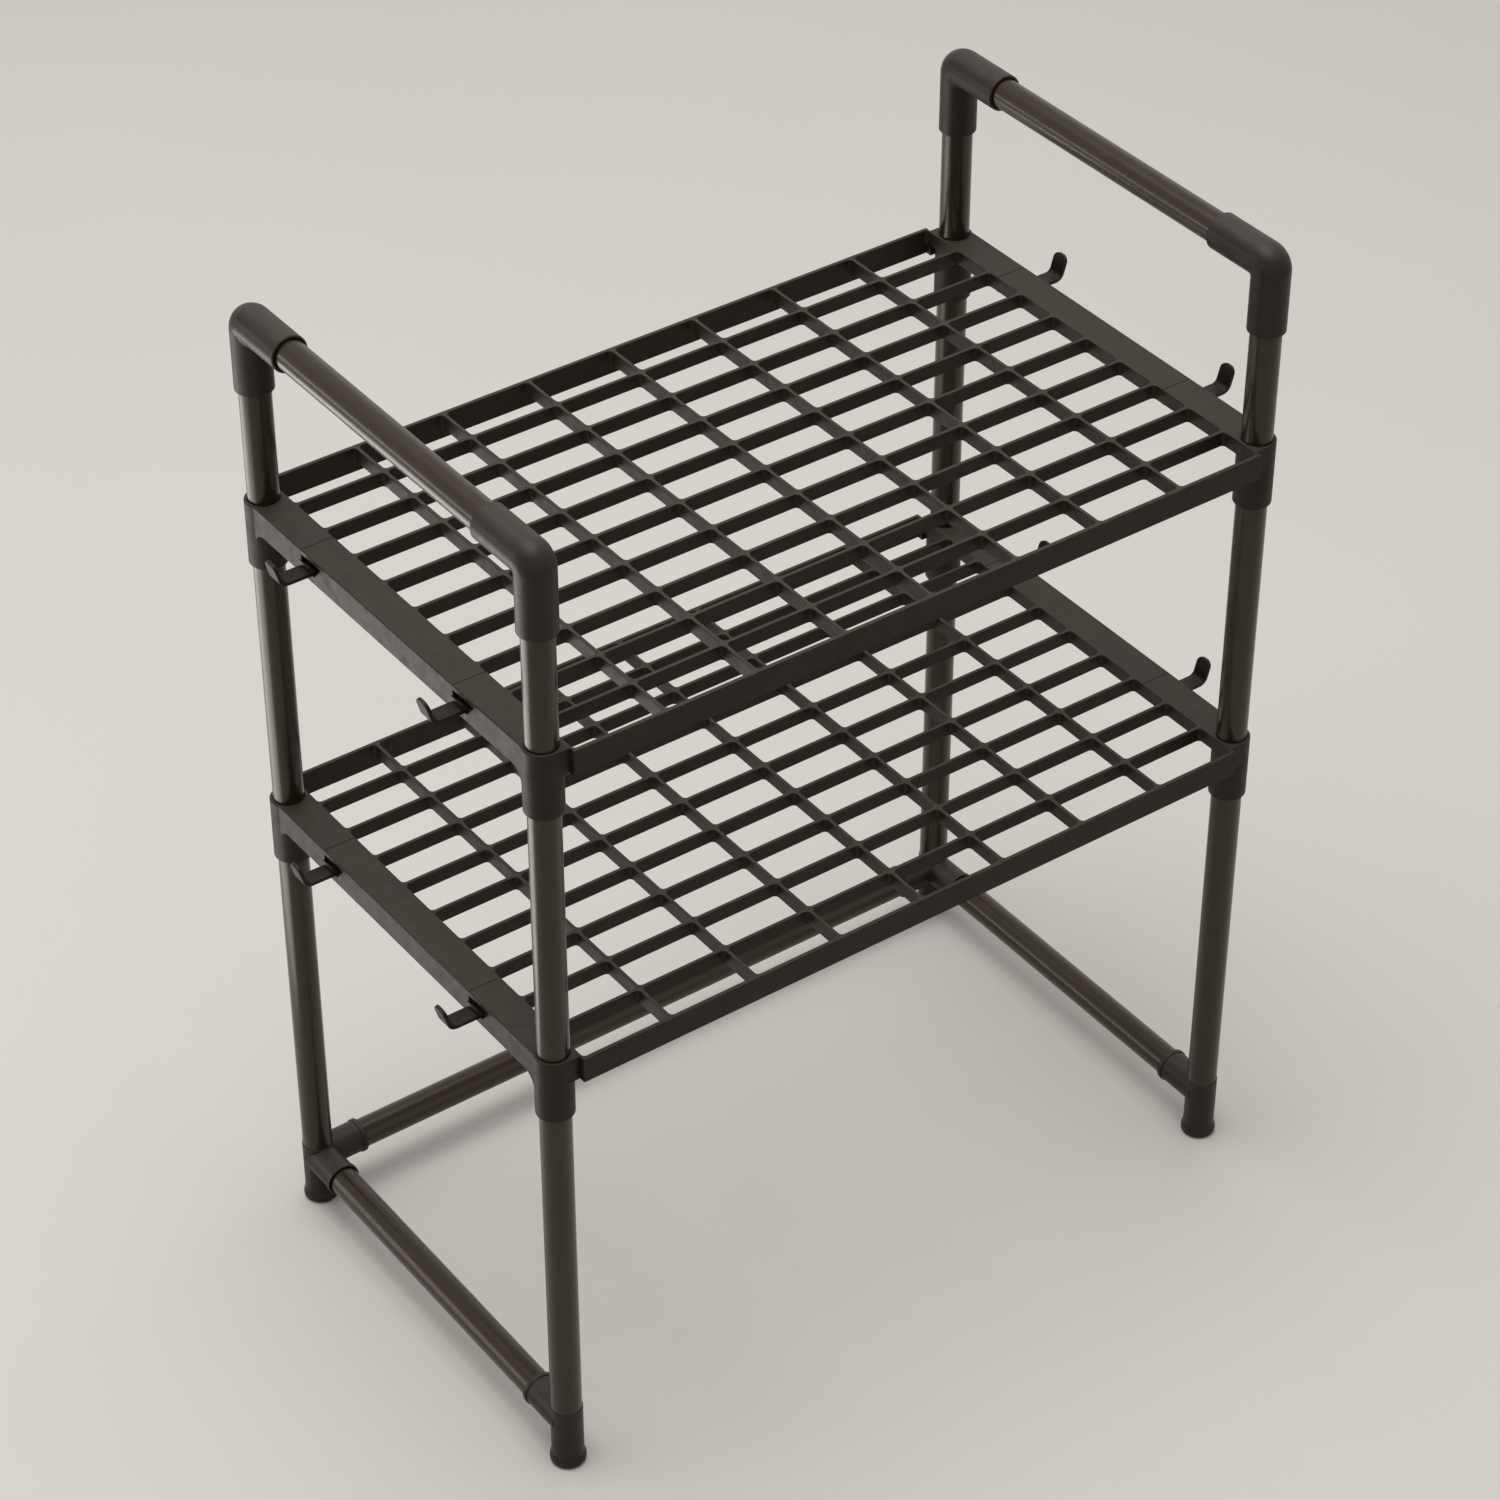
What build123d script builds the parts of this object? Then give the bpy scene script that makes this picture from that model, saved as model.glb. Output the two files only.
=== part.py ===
from build123d import *
from math import cos, radians, sin, sqrt
import os

# A kitchen rack that stands over a microwave oven: two plastic lattice shelves on four posts
# of steel tube, a handle over each side, crossbars low on three sides and hooks on the shelf sides.
# Millimetres. +X is the rack's right, +Y its back, +Z up.
# The origin is on the floor, at the middle of the rack's footprint.

# Frame: distances between tube axes, and heights above the floor
post_pitch_x = 500.0
post_pitch_y = 286.0
lower_shelf_top = 327.0
upper_shelf_top = 544.0
handle_axis_height = 662.0
crossbar_axis_height = 34.5

# Steel tube, and how it fits into the mouldings
tube_diameter = 19.0
tube_wall = 0.8
socket_clearance = 0.1  # all round, between a tube and the socket or spigot it meets
stop_ledge = 2.0  # how far a socket's end stop reaches in past the outside of the tube
mouth_chamfer = 0.6  # inside edge of each socket's mouth

# Shelf: corner sleeves
sleeve_wall = 2.0
sleeve_length = 44.0
sleeve_stop_thickness = 3.0
sleeve_end_chamfer = 1.0
sleeve_proud_of_side = 1.3
sleeve_arch_radius = 10.0

# Shelf: lattice, solid side strips and the rim that hangs round the edge
apron_proud_of_sleeve = 4.3
apron_thickness = 2.9
apron_end_wall = 1.6
rim_depth = 16.5
side_strip_width = 21.7
side_wall = 2.4
strip_skin = 2.5
lattice_depth = 9.4
column_count = 8
row_count = 10
rib_thickness = 2.4
slat_thickness = 2.5
opening_corner_radius = 2.5
top_edge_round = 0.8
score_width = 0.8
score_depth = 0.3
score_behind_hook = 6.8

# Hooks, and the slots in the shelf's side rim that they clip into
hook_row = 3  # counted from the front and from the back
hook_width = 11.0
hook_thickness = 2.5
hook_below_shelf = 8.8
hook_reach = 25.0
hook_bend_radius = 4.0
hook_lean = 16.0  # degrees that the arm leans out from upright
hook_tip_above_shelf = 4.6
hook_tip_round = 4.5
hook_rib_out = 2.6  # from the rim to the outer face of the upright rib across the hook's root
hook_rib_thickness = 1.0
hook_rib_height = 4.2
hook_tail_length = 12.0
hook_tail_clearance = 0.2
hook_catch_height = 1.5
slot_width = 14.0
slot_lean = 7.0  # how much further forward the slot reaches at its top than at its bottom
slot_below_shelf = 3.0
slot_clearance = 0.2
guide_thickness = 1.6  # ribs under the strip on both sides of each hook

# Elbows under and beside the handle tubes
elbow_wall = 2.0
elbow_leg = 44.0
elbow_stop = 15.0
elbow_bend = 5.0  # from the tubes' axes in to the line that the elbow's outside turns about
elbow_end_chamfer = 0.8
elbow_crease_round = 2.0

# Foot joints
foot_diameter = 20.0
foot_flare_diameter = 22.4
foot_flare_height = 4.0
foot_neck_height = 9.0
foot_edge_round = 2.6
foot_edge_land = 0.4  # the least upright surface left between the lower edge's round and the neck
foot_floor = 4.0
branch_wall = 1.0
branch_reach = 31.0
branch_stop = 12.0
branch_rim_width = 3.0
branch_rim_height = 0.7
shoulder_above_branch = 0.5
spigot_length = 22.0
spigot_wall = 2.0
spigot_end_chamfer = 1.0

# Limits that the shapes keep to
round_limit = 0.45  # the most of a side or wall that an edge round may take up
overcut = 1.0  # how far a cutting block stands out past the surface that it cuts

# Worked out from the sizes above
tube_radius = tube_diameter / 2
socket_radius = tube_radius + socket_clearance
stop_radius = tube_radius - stop_ledge
post_x = post_pitch_x / 2
post_y = post_pitch_y / 2

sleeve_radius = socket_radius + sleeve_wall
sleeve_socket_depth = (sleeve_length - sleeve_stop_thickness) / 2
side_edge_x = post_x + sleeve_radius - sleeve_proud_of_side
strip_inner_x = side_edge_x - side_strip_width
sleeve_front_y = post_y + sleeve_radius
apron_edge_y = sleeve_front_y + apron_proud_of_sleeve
apron_inner_y = apron_edge_y - apron_thickness
apron_end_x = strip_inner_x + apron_end_wall

opening_x = (2 * strip_inner_x - (column_count - 1) * rib_thickness) / column_count
opening_y = (2 * apron_inner_y - (row_count - 1) * slat_thickness) / row_count
column_pitch = opening_x + rib_thickness
row_pitch = opening_y + slat_thickness

hook_y = (row_count / 2 - hook_row + 0.5) * row_pitch
slot_bottom = hook_below_shelf + hook_thickness + slot_clearance

elbow_radius = socket_radius + elbow_wall
branch_radius = socket_radius + branch_wall
shoulder_height = crossbar_axis_height + branch_radius + shoulder_above_branch
spigot_radius = tube_radius - tube_wall - socket_clearance
spigot_bore = spigot_radius - spigot_wall

# Each corner's name, with the sign of its X and of its Y
corners = {
    "front_left": (-1, -1),
    "front_right": (1, -1),
    "back_left": (-1, 1),
    "back_right": (1, 1),
}


def upright(radius, low, high):
    """A solid cylinder along Z from the height low to the height high."""
    return Pos(0, 0, (low + high) / 2) * Cylinder(radius, high - low)


def along_y(radius, near, far):
    """A solid cylinder along +Y from near to far."""
    return Rot(-90, 0, 0) * upright(radius, near, far)


def socket(low, high):
    """The space of a tube socket along Z, with its mouth chamfered at the height low."""
    bore = upright(socket_radius, low, high)
    mouth = Pos(0, 0, low + mouth_chamfer / 2) * Cone(socket_radius + mouth_chamfer, socket_radius, mouth_chamfer)
    return bore + mouth


def post_tube(low, high):
    """A length of tube that stands upright."""
    return upright(tube_radius, low, high) - upright(tube_radius - tube_wall, low, high)


def rail_tube(half_length):
    """A length of tube along Y, with its middle at the origin."""
    return Rot(90, 0, 0) * post_tube(-half_length, half_length)


def shelf_outline():
    """The shelf's edge in plan: straight sides, aprons that stand forward and round corners."""
    sides = Rectangle(2 * side_edge_x, 2 * post_y)
    ends = Rectangle(2 * post_x, 2 * sleeve_front_y)
    aprons = Rectangle(2 * apron_end_x, 2 * apron_edge_y)
    outline = sides + ends + aprons
    for x_sign, y_sign in corners.values():
        outline += Pos(x_sign * post_x, y_sign * post_y) * Circle(sleeve_radius)
    return outline


def shelf_lattice(outline):
    """The flat deck with its openings, and the hollows under its solid side strips."""
    deck = extrude(outline, amount=-lattice_depth)
    top_edges = deck.edges().group_by(Axis.Z)[-1]
    deck = fillet(top_edges, min(top_edge_round, round_limit * apron_end_wall))
    corner_radius = min(opening_corner_radius, round_limit * min(opening_x, opening_y))
    opening = RectangleRounded(opening_x, opening_y, corner_radius)
    openings = Sketch() + [
        place * opening for place in GridLocations(column_pitch, row_pitch, column_count, row_count)
    ]
    deck -= extrude(openings, amount=-lattice_depth)
    hollow_x = side_strip_width - 2 * side_wall
    hollow_middle_x = side_edge_x - side_wall - hollow_x / 2
    hollows = Sketch() + [
        place * Rectangle(hollow_x, opening_y)
        for place in GridLocations(2 * hollow_middle_x, row_pitch, 2, row_count)
    ]
    return deck - Pos(0, 0, -strip_skin) * extrude(hollows, amount=strip_skin - lattice_depth)


def shelf_rim(outline):
    """The wall that hangs down all round the shelf."""
    band = outline
    band -= Rectangle(2 * strip_inner_x, 2 * apron_inner_y)
    band -= Rectangle(2 * (side_edge_x - side_wall), 2 * (sleeve_front_y - apron_thickness))
    return Pos(0, 0, -strip_skin) * extrude(band, amount=strip_skin - rim_depth)


def sleeve_arch():
    """The curve between the side rim's lower edge and the sleeve at the front right corner."""
    root = sqrt(sleeve_radius**2 - (sleeve_radius - sleeve_proud_of_side) ** 2)
    length = root + sleeve_arch_radius
    block = Pos(0, length / 2, -rim_depth - sleeve_arch_radius / 2) * Box(
        side_wall, length, sleeve_arch_radius
    )
    curve = Pos(0, length, -rim_depth - sleeve_arch_radius) * Rot(0, 90, 0) * Cylinder(
        sleeve_arch_radius, side_wall + 2 * overcut
    )
    return Pos(side_edge_x - side_wall / 2, -post_y, 0) * (block - curve)


def shelf_sleeve():
    """A corner sleeve, without its sockets."""
    sleeve = upright(sleeve_radius, -sleeve_length, -strip_skin)
    return chamfer(sleeve.edges().group_by(Axis.Z)[0], sleeve_end_chamfer)


def sleeve_sockets():
    """The space for the tubes below and above, and the hole through the stop between them."""
    below = socket(-sleeve_length, -sleeve_length + sleeve_socket_depth)
    above = Rot(180, 0, 0) * socket(0, sleeve_socket_depth)
    return below + above + upright(stop_radius, -sleeve_length, 0)


def hook_slot():
    """The slot for one hook in the right side rim, and the score line across the strip behind it."""
    half = slot_width / 2
    wall_face = Plane((side_edge_x - side_wall - overcut, 0, 0), x_dir=(0, 1, 0), z_dir=(1, 0, 0))
    edge = Polyline(
        (-half - slot_lean, -slot_below_shelf),
        (-half, -slot_bottom),
        (half, -slot_bottom),
        (half, -slot_below_shelf),
        close=True,
    )
    slot = extrude(make_face(wall_face * edge), amount=side_wall + 2 * overcut)
    score = Pos(side_edge_x - side_strip_width / 2, score_behind_hook, 0) * Box(
        side_strip_width + 2 * overcut, score_width, 2 * score_depth
    )
    return slot + score


def hook_guides():
    """The two ribs under the right side strip, one on each side of a hook's tail."""
    length = side_strip_width - 2 * side_wall
    depth = slot_bottom - strip_skin
    guide = Pos(
        side_edge_x - side_wall - length / 2, (slot_width + guide_thickness) / 2, -strip_skin - depth / 2
    ) * Box(length, guide_thickness, depth)
    return mirrored_y(guide)


def mirrored_x(shape):
    """The shape and its mirror image on the other side of the rack."""
    return shape + mirror(shape, about=Plane.YZ)


def mirrored_y(shape):
    """The shape and its mirror image at the other end of the rack, front for back."""
    return shape + mirror(shape, about=Plane.XZ)


def shelf():
    """One whole shelf moulding, with its top at the height 0."""
    outline = shelf_outline()
    body = shelf_lattice(outline) + shelf_rim(outline) + mirrored_y(mirrored_x(sleeve_arch()))
    for x_sign, y_sign in corners.values():
        body += Pos(x_sign * post_x, y_sign * post_y, 0) * shelf_sleeve()
    for x_sign, y_sign in corners.values():
        body -= Pos(x_sign * post_x, y_sign * post_y, 0) * sleeve_sockets()
    for y_sign in (-1, 1):
        body += mirrored_x(Pos(0, y_sign * hook_y, 0) * hook_guides())
        body -= mirrored_x(Pos(0, y_sign * hook_y, 0) * hook_slot())
    return body


def hook():
    """A hook for the right side of a shelf whose top is at the height 0, with its middle at Y = 0."""
    middle_z = -hook_below_shelf - hook_thickness / 2
    bend = hook_bend_radius + hook_thickness / 2
    turn = radians(90 - hook_lean)
    rise = hook_tip_above_shelf - middle_z - bend * (1 - cos(turn))
    arm_length = rise / sin(turn)
    arm_out = bend * sin(turn) + arm_length * cos(turn) + hook_thickness / 2 * sin(turn)
    bend_x = side_edge_x + hook_reach - arm_out
    tail_x = side_edge_x - side_wall - hook_tail_length

    strap_line = Line((tail_x, 0, middle_z), (bend_x, 0, middle_z))
    bend_end = Vector(bend_x + bend * sin(turn), 0, middle_z + bend * (1 - cos(turn)))
    bend_line = TangentArc(strap_line @ 1, bend_end, tangent=strap_line % 1)
    arm_line = Line(bend_end, bend_end + Vector(cos(turn), 0, sin(turn)) * arm_length)
    path = strap_line + bend_line + arm_line
    section = Plane(strap_line @ 0, x_dir=(0, 1, 0), z_dir=(1, 0, 0)) * Rectangle(hook_width, hook_thickness)
    strap = sweep(section, path)
    tip = strap.faces().sort_by_distance(arm_line @ 1)[0]
    tip_corners = tip.edges().filter_by(Axis.Y, reverse=True)
    strap = fillet(tip_corners, min(hook_tip_round, round_limit * hook_width))

    tail_rise = hook_below_shelf - strip_skin - hook_tail_clearance
    tail = Pos(tail_x + hook_thickness / 2, 0, -hook_below_shelf + tail_rise / 2) * Box(
        hook_thickness, hook_width, tail_rise
    )
    rib = Pos(
        side_edge_x + hook_rib_out - hook_rib_thickness / 2, 0, -hook_below_shelf + hook_rib_height / 2
    ) * Box(hook_rib_thickness, hook_width, hook_rib_height)
    catch_x = side_edge_x - side_wall - slot_clearance - hook_thickness / 2
    catch = Pos(catch_x, 0, -hook_below_shelf - hook_thickness - hook_catch_height / 2) * Box(
        hook_thickness, hook_width, hook_catch_height
    )
    return strap + tail + rib + catch


def elbow_corner():
    """The outside of the elbow's corner: the round end of its leg, turned over into its arm."""
    behind = Pos(0, elbow_bend + elbow_radius) * Rectangle(2 * elbow_radius, 2 * elbow_radius)
    profile = Pos(0, 0, -elbow_bend) * (Circle(elbow_radius) - behind)
    turning_line = Axis((0, elbow_bend, -elbow_bend), (-1, 0, 0))
    return revolve(profile, turning_line, revolution_arc=90)


def elbow():
    """The elbow at the front: its corner is at the origin, one leg points down and one to +Y."""
    leg = upright(elbow_radius, -elbow_leg, 0)
    leg = chamfer(leg.edges().group_by(Axis.Z)[0], elbow_end_chamfer)
    arm = Rot(90, 0, 0) * leg
    body = leg + arm
    crease = body.edges().filter_by(lambda edge: edge.center().Y > 0 > edge.center().Z).filter_by(
        GeomType.CIRCLE, reverse=True
    )
    body = fillet(crease, elbow_crease_round)
    corner_size = 2 * (elbow_radius + elbow_bend)
    corner_space = Pos(0, elbow_bend - corner_size / 2, -elbow_bend + corner_size / 2) * Box(
        corner_size, corner_size, corner_size
    )
    body = body - corner_space + elbow_corner()
    leg_socket = socket(-elbow_leg, -elbow_stop)
    body -= leg_socket + Rot(90, 0, 0) * leg_socket
    leg_core = upright(stop_radius, -elbow_leg, 0)
    return body - (leg_core + Rot(90, 0, 0) * leg_core + Sphere(stop_radius))


def foot_body():
    """The upright part of a foot joint: flared foot, shoulder and the spigot inside the post."""
    radius = foot_diameter / 2
    flare = foot_flare_diameter / 2
    edge_round = min(foot_edge_round, round_limit * flare)
    bottom_line = Line((0, 0), (flare - edge_round, 0))
    edge_line = TangentArc(bottom_line @ 1, (flare, edge_round), tangent=bottom_line % 1)
    side_line = Line(edge_line @ 1, (flare, max(foot_flare_height, edge_round + foot_edge_land)))
    neck_line = Spline(side_line @ 1, (radius, foot_neck_height), tangents=[(0, 1), (0, 1)])
    top = shoulder_height + spigot_length
    rest = Polyline(
        neck_line @ 1,
        (radius, shoulder_height),
        (spigot_radius, shoulder_height),
        (spigot_radius, top - spigot_end_chamfer),
        (spigot_radius - spigot_end_chamfer, top),
        (0, top),
        (0, 0),
    )
    profile = make_face(Plane.XZ * (bottom_line + edge_line + side_line + neck_line + rest))
    return revolve(profile, Axis.Z)


def branch():
    """One branch of a foot joint, pointing to +Y from the post's axis, without its socket."""
    rim_radius = branch_radius + branch_rim_height
    pipe = along_y(branch_radius, 0, branch_reach)
    rim = along_y(rim_radius, branch_reach - branch_rim_width, branch_reach)
    rim = fillet(rim.edges().filter_by(GeomType.CIRCLE), branch_rim_height / 2)
    return Pos(0, 0, crossbar_axis_height) * (pipe + rim)


def branch_socket():
    """The space inside a branch: the tube's socket and the narrower core behind its stop."""
    space = Rot(90, 0, 0) * socket(-branch_reach, -branch_stop) + along_y(stop_radius, 0, branch_reach)
    return Pos(0, 0, crossbar_axis_height) * space


def foot_joint(branch_turns):
    """A foot joint at the origin, with one branch for each turn in degrees from +Y."""
    body = foot_body()
    for turn in branch_turns:
        body += Rot(0, 0, turn) * branch()
    for turn in branch_turns:
        body -= Rot(0, 0, turn) * branch_socket()
    return body - upright(spigot_bore, foot_floor, shoulder_height + spigot_length)


def build_pieces():
    """Every piece of the rack in its place, by name."""
    pieces = {}
    shelf_body = shelf()
    shelf_heights = {"lower": lower_shelf_top, "upper": upper_shelf_top}
    for level, top in shelf_heights.items():
        pieces[f"{level}_shelf"] = Pos(0, 0, top) * shelf_body

    socket_end_below = -sleeve_length + sleeve_socket_depth
    post_spans = {
        "lower": (shoulder_height, lower_shelf_top + socket_end_below),
        "middle": (lower_shelf_top - sleeve_socket_depth, upper_shelf_top + socket_end_below),
        "upper": (upper_shelf_top - sleeve_socket_depth, handle_axis_height - elbow_stop),
    }
    for corner, (x_sign, y_sign) in corners.items():
        for level, (low, high) in post_spans.items():
            pieces[f"{level}_post_{corner}"] = Pos(x_sign * post_x, y_sign * post_y, 0) * post_tube(low, high)

    elbow_body = elbow()
    for corner, (x_sign, y_sign) in corners.items():
        turn = 0 if y_sign < 0 else 180
        place = Pos(x_sign * post_x, y_sign * post_y, handle_axis_height) * Rot(0, 0, turn)
        pieces[f"handle_elbow_{corner}"] = place * elbow_body

    inner_turn = {"front_left": [0], "front_right": [0], "back_left": [180, -90], "back_right": [180, 90]}
    for corner, (x_sign, y_sign) in corners.items():
        pieces[f"foot_joint_{corner}"] = Pos(x_sign * post_x, y_sign * post_y, 0) * foot_joint(inner_turn[corner])

    for side, x_sign in {"left": -1, "right": 1}.items():
        pieces[f"handle_tube_{side}"] = Pos(x_sign * post_x, 0, handle_axis_height) * rail_tube(post_y - elbow_stop)
        pieces[f"crossbar_{side}"] = Pos(x_sign * post_x, 0, crossbar_axis_height) * rail_tube(post_y - branch_stop)
    back_bar = Rot(0, 0, 90) * rail_tube(post_x - branch_stop)
    pieces["crossbar_back"] = Pos(0, post_y, crossbar_axis_height) * back_bar

    right_hook = hook()
    side_hooks = {"right": right_hook, "left": Rot(0, 0, 180) * right_hook}
    for level, top in shelf_heights.items():
        for side, hook_body in side_hooks.items():
            for place, y_sign in {"front": -1, "back": 1}.items():
                pieces[f"{level}_hook_{side}_{place}"] = Pos(0, y_sign * hook_y, top) * hook_body
    return pieces


os.makedirs("parts", exist_ok=True)
for node, piece in build_pieces().items():
    export_step(piece, f"parts/{node}.step")
    print(node, round(piece.volume), "mm3")
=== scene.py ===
import logging
import math
from contextlib import contextmanager
from dataclasses import dataclass
from enum import Enum
from typing import Callable, Iterator

import bmesh
import bpy
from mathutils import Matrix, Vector


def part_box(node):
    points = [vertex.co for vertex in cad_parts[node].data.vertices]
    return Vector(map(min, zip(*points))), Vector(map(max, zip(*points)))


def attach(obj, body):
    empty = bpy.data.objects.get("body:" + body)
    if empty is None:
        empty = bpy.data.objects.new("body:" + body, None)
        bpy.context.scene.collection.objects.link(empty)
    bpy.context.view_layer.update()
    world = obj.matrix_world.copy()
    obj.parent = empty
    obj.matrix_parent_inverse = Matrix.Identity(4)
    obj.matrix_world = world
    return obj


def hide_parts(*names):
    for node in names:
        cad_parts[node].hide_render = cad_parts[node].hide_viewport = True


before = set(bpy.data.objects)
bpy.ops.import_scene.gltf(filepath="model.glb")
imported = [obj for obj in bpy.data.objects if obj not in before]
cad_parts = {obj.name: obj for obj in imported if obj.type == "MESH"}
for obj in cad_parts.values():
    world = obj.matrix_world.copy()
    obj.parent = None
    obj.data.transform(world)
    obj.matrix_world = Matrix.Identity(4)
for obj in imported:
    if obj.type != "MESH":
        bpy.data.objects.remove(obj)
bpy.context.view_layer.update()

log = logging.getLogger("microwave_rack")

# Sizes in this file are millimetres, as in the drawing. Blender works in metres.
MM = 0.001

# Two places nearer than this are the same place, and points nearer than MERGE become one.
NEAR = 0.01
MERGE = 0.001

# How much of a face's normal has to lie along an axis for the face to count as facing that way.
FACING = 0.9

# How many flats stand for a full round, and how finely a quarter bend is stepped.
ROUND_SIDES = 96
QUARTER_STEPS = 24

# Edges that turn by more than this stay crisp when a piece is shaded smooth.
CRISP_ANGLE = math.radians(36)

Piece = bpy.types.Object
Material = bpy.types.Material
Place = tuple[float, float, float]
Profile = list[tuple[float, float]]
Test = Callable[[Vector, Vector], bool]


class Corner(Enum):
    """The rack's four corners, each with the sign of its X and of its Y."""

    FRONT_LEFT = (-1, -1)
    FRONT_RIGHT = (1, -1)
    BACK_LEFT = (-1, 1)
    BACK_RIGHT = (1, 1)

    @property
    def label(self) -> str:
        """The corner's name as the drawing writes it."""
        return self.name.lower()


class Lie(Enum):
    """How a round piece lies, as the turn that brings it there from standing upright."""

    ALONG_X = (0.0, math.pi / 2, 0.0)
    ALONG_Y = (-math.pi / 2, 0.0, 0.0)


class Joining(Enum):
    """What a second solid does to the first one."""

    ADD = "UNION"
    CUT = "DIFFERENCE"


def clear_selection() -> None:
    """Deselects every object."""
    bpy.ops.object.select_all(action="DESELECT")


def take(piece: Piece) -> None:
    """Selects one piece alone and makes it the active one.

    Args:
        piece: the piece to select.
    """
    clear_selection()
    piece.select_set(True)
    bpy.context.view_layer.objects.active = piece


@contextmanager
def editing(piece: Piece) -> Iterator[None]:
    """Opens one piece in edit mode with all of it selected, and closes it again.

    Args:
        piece: the piece to edit.

    Returns:
        A context that closes the piece again at its end.
    """
    take(piece)
    bpy.ops.object.mode_set(mode="EDIT")
    bpy.ops.mesh.select_all(action="SELECT")
    yield
    bpy.ops.object.mode_set(mode="OBJECT")


@contextmanager
def picking(piece: Piece, kind: str) -> Iterator[bmesh.types.BMesh]:
    """Opens a mesh in edit mode, with nothing selected, for its faces or edges to be picked.

    Args:
        piece: the piece that is being edited.
        kind: what is picked, FACE or EDGE.

    Returns:
        A context that gives the mesh whose faces or edges are picked.
    """
    bpy.ops.mesh.select_mode(type=kind)
    bpy.ops.mesh.select_all(action="DESELECT")
    yield bmesh.from_edit_mesh(piece.data)
    bmesh.update_edit_mesh(piece.data)


def pick_faces(piece: Piece, wanted: Test) -> None:
    """Selects only the faces whose middle in millimetres and normal pass a test, in edit mode.

    Args:
        piece: the piece that is being edited.
        wanted: takes a face's middle in millimetres and its normal, and says whether to select it.
    """
    with picking(piece, "FACE") as shape:
        for face in shape.faces:
            face.select_set(wanted(face.calc_center_median() / MM, face.normal))


def pick_edges(piece: Piece, wanted: Test) -> None:
    """Selects only the edges whose two ends in millimetres pass a test, in edit mode.

    Args:
        piece: the piece that is being edited.
        wanted: takes an edge's two ends in millimetres, and says whether to select it.
    """
    with picking(piece, "EDGE") as shape:
        for edge in shape.edges:
            first, second = edge.verts
            edge.select_set(wanted(first.co / MM, second.co / MM))


def bevel_edges(piece: Piece, wanted: Test, width: float, steps: int) -> None:
    """Bevels the edges that pass a test by a width in millimetres, in so many flats, in edit mode."""
    pick_edges(piece, wanted)
    bpy.ops.mesh.bevel(offset=width * MM, segments=steps, affect="EDGES")


def draw_out(x: float = 0.0, y: float = 0.0, z: float = 0.0) -> None:
    """Extrudes what is selected by a distance in millimetres, in edit mode."""
    bpy.ops.mesh.extrude_region_move(TRANSFORM_OT_translate={"value": (x * MM, y * MM, z * MM)})


def draw_up(start: float, end: float, growth: tuple[float, float]) -> None:
    """Extrudes a level face from one height to another and resizes it in X and Y, in edit mode."""
    draw_out(z=end - start)
    bpy.ops.transform.resize(value=(*growth, 1.0), center_override=(0.0, 0.0, end * MM))


def slice_through(place: Place, normal: Place, **settings: bool) -> None:
    """Cuts every face along the plane through a place in millimetres, in edit mode."""
    bpy.ops.mesh.select_all(action="SELECT")
    bpy.ops.mesh.bisect(plane_co=[value * MM for value in place], plane_no=normal, **settings)


def face_outwards() -> None:
    """Merges doubled points and turns every face outwards, in edit mode."""
    bpy.ops.mesh.select_all(action="SELECT")
    bpy.ops.mesh.remove_doubles(threshold=MERGE * MM)
    bpy.ops.mesh.normals_make_consistent(inside=False)


def fix_in_place(piece: Piece) -> None:
    """Moves a piece's place, turn and scale into its mesh."""
    take(piece)
    bpy.ops.object.transform_apply(location=True, rotation=True, scale=True)


def shift(piece: Piece, place: Place) -> None:
    """Moves a piece's mesh by a distance in millimetres."""
    piece.location = Vector(place) * MM
    fix_in_place(piece)


def lay(piece: Piece, lie: Lie) -> None:
    """Lays an upright piece down along an axis."""
    piece.rotation_euler = lie.value
    fix_in_place(piece)


def turn_about_z(piece: Piece, degrees: float) -> None:
    """Turns a piece's mesh about the upright axis through the origin."""
    piece.rotation_euler = (0.0, 0.0, math.radians(degrees))
    fix_in_place(piece)


def copy_of(piece: Piece, name: str) -> Piece:
    """Copies a piece, in its place and with a mesh of its own, under a new name.

    Args:
        piece: the piece to copy.
        name: the copy's name.

    Returns:
        The copy.
    """
    take(piece)
    bpy.ops.object.duplicate(linked=False)
    return named(name)


def named(name: str) -> Piece:
    """Names the object that was just added, and its mesh.

    Args:
        name: the object's name.

    Returns:
        The object.
    """
    piece = bpy.context.object
    piece.name = name
    piece.data.name = name
    return piece


def top_of(node: str) -> float:
    """The height of a node's top in the drawing, in millimetres."""
    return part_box(node)[1].z / MM


def block(name: str, low: Place, high: Place) -> Piece:
    """Adds a block between two corners.

    Args:
        name: the block's name.
        low: its lowest corner in millimetres.
        high: its highest corner in millimetres.

    Returns:
        The block, with its place in its mesh.
    """
    middle = (Vector(low) + Vector(high)) / 2 * MM
    size = (Vector(high) - Vector(low)) * MM
    clear_selection()
    bpy.ops.mesh.primitive_cube_add(size=1.0, location=middle, scale=size)
    piece = named(name)
    fix_in_place(piece)
    return piece


def turned(name: str, profile: Profile) -> Piece:
    """Makes a round solid as on a lathe: a disc is drawn up ring by ring.

    Args:
        name: the solid's name.
        profile: each ring's radius and height in millimetres, in the order they are drawn.

    Returns:
        The solid, upright on the Z axis.
    """
    radius, height = profile[0]
    clear_selection()
    bpy.ops.mesh.primitive_circle_add(
        vertices=ROUND_SIDES, radius=radius * MM, fill_type="NGON", location=(0.0, 0.0, height * MM)
    )
    piece = named(name)
    fix_in_place(piece)
    with editing(piece):
        for next_radius, next_height in profile[1:]:
            growth = next_radius / radius
            draw_up(height, next_height, (growth, growth))
            radius, height = next_radius, next_height
        face_outwards()
    return piece


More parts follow.
